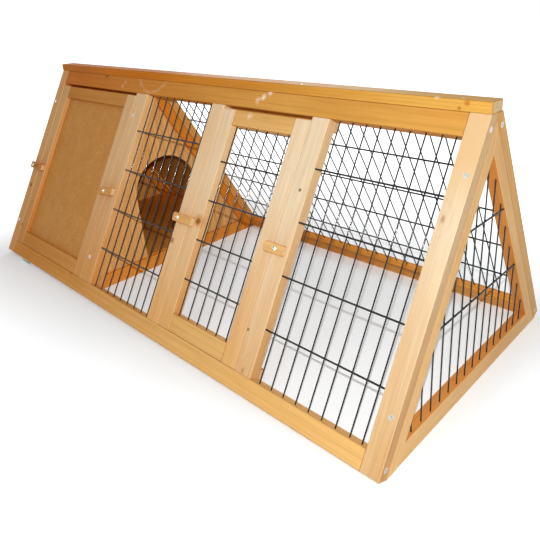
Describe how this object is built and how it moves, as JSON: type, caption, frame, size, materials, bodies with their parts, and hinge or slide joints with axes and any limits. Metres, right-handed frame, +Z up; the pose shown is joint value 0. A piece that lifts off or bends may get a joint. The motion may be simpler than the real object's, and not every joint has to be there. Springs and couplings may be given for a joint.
{
  "type": "outdoor rabbit run",
  "caption": "Tent-shaped timber rabbit run with welded wire sides, a boarded sleeping compartment with a pop hole, and two lift-out doors held by turn buttons.",
  "frame": {"origin": "middle of the run's outline on the ground", "axes": "+X along the ridge towards the open wire end, doors face -Y, +Z up"},
  "size_m": [1.185, 0.524, 0.4498],
  "materials": {
    "stile_wood": "pale honey-stained softwood, clear satin glaze",
    "rail_wood": "golden honey-stained softwood, clear satin glaze",
    "cap_wood": "deep orange stained softwood, clear satin glaze",
    "inner_wood": "orange-brown stained softwood, clear satin glaze",
    "plank_wood": "tan planed softwood boards",
    "button_wood": "honey-stained softwood block",
    "hardboard": "brown speckled hardboard sheet, matt",
    "floor_wood": "orange-brown stained board, matt",
    "black_wire": "black-green coated welded wire, semi-gloss",
    "zinc": "bright zinc-plated screws and nails",
    "clip_steel": "grey galvanised strip"
  },
  "bodies": {
    "root": {"front_left_stile": "stile_wood", "front_right_stile": "stile_wood", "front_top_rail": "rail_wood", "front_bottom_rail": "rail_wood", "front_mullion_1": "stile_wood", "front_mullion_2": "stile_wood", "front_mullion_3": "stile_wood", "front_mesh_left": "black_wire", "front_mesh_right": "black_wire", "door_stops": "inner_wood", "rear_left_stile": "inner_wood", "rear_right_stile": "inner_wood", "rear_top_rail": "inner_wood", "rear_bottom_rail": "inner_wood", "rear_mullion": "inner_wood", "rear_panel": "hardboard", "rear_mesh": "black_wire", "left_end_front_member": "inner_wood", "left_end_rear_member": "inner_wood", "left_end_bottom_rail": "inner_wood", "left_end_panel": "hardboard", "right_end_front_member": "inner_wood", "right_end_rear_member": "inner_wood", "right_end_bottom_rail": "inner_wood", "right_end_mesh": "black_wire", "partition_front_member": "inner_wood", "partition_rear_member": "inner_wood", "partition_bottom_rail": "inner_wood", "partition_board_1": "plank_wood", "partition_board_2": "plank_wood", "partition_board_3": "plank_wood", "partition_board_4": "plank_wood", "partition_board_5": "plank_wood", "floor_board": "floor_wood", "floor_cleats": "inner_wood", "ridge_cap_left": "cap_wood", "ridge_cap_right": "cap_wood", "turn_button_screws": "zinc", "panel_screws": "zinc", "frame_screws": "zinc", "stop_and_cleat_screws": "zinc", "cap_nails": "zinc", "ground_clips": "clip_steel"},
    "door_1": {"door_1_left_stile": "stile_wood", "door_1_right_stile": "stile_wood", "door_1_top_rail": "rail_wood", "door_1_bottom_rail": "rail_wood", "door_1_panel": "hardboard", "door_1_screws": "zinc"},
    "door_2": {"door_2_left_stile": "stile_wood", "door_2_right_stile": "stile_wood", "door_2_top_rail": "rail_wood", "door_2_bottom_rail": "rail_wood", "door_2_mesh": "black_wire", "door_2_screws": "zinc"},
    "button_1": {"turn_button_1": "button_wood"},
    "button_2": {"turn_button_2": "button_wood"},
    "button_3": {"turn_button_3": "button_wood"},
    "button_4": {"turn_button_4": "button_wood"}
  },
  "joints": [
    {"name": "door_1_lift_out", "type": "slide", "parent": "root", "child": "door_1", "axis": [0, -0.866, 0.5], "range_m": [0, 0.245]},
    {"name": "door_2_lift_out", "type": "slide", "parent": "root", "child": "door_2", "axis": [0, -0.866, 0.5], "range_m": [0, 0.245]},
    {"name": "button_1_turn", "type": "hinge", "parent": "root", "child": "button_1", "pos_m": [-0.5745, -0.15083, 0.21255], "axis": [0, -0.866, 0.5], "continuous": true},
    {"name": "button_2_turn", "type": "hinge", "parent": "root", "child": "button_2", "pos_m": [-0.213, -0.15133, 0.21169], "axis": [0, -0.866, 0.5], "continuous": true},
    {"name": "button_3_turn", "type": "hinge", "parent": "root", "child": "button_3", "pos_m": [0.0595, -0.15083, 0.21255], "axis": [0, -0.866, 0.5], "continuous": true},
    {"name": "button_4_turn", "type": "hinge", "parent": "root", "child": "button_4", "pos_m": [0.314, -0.14783, 0.21775], "axis": [0, -0.866, 0.5], "continuous": true}
  ]
}
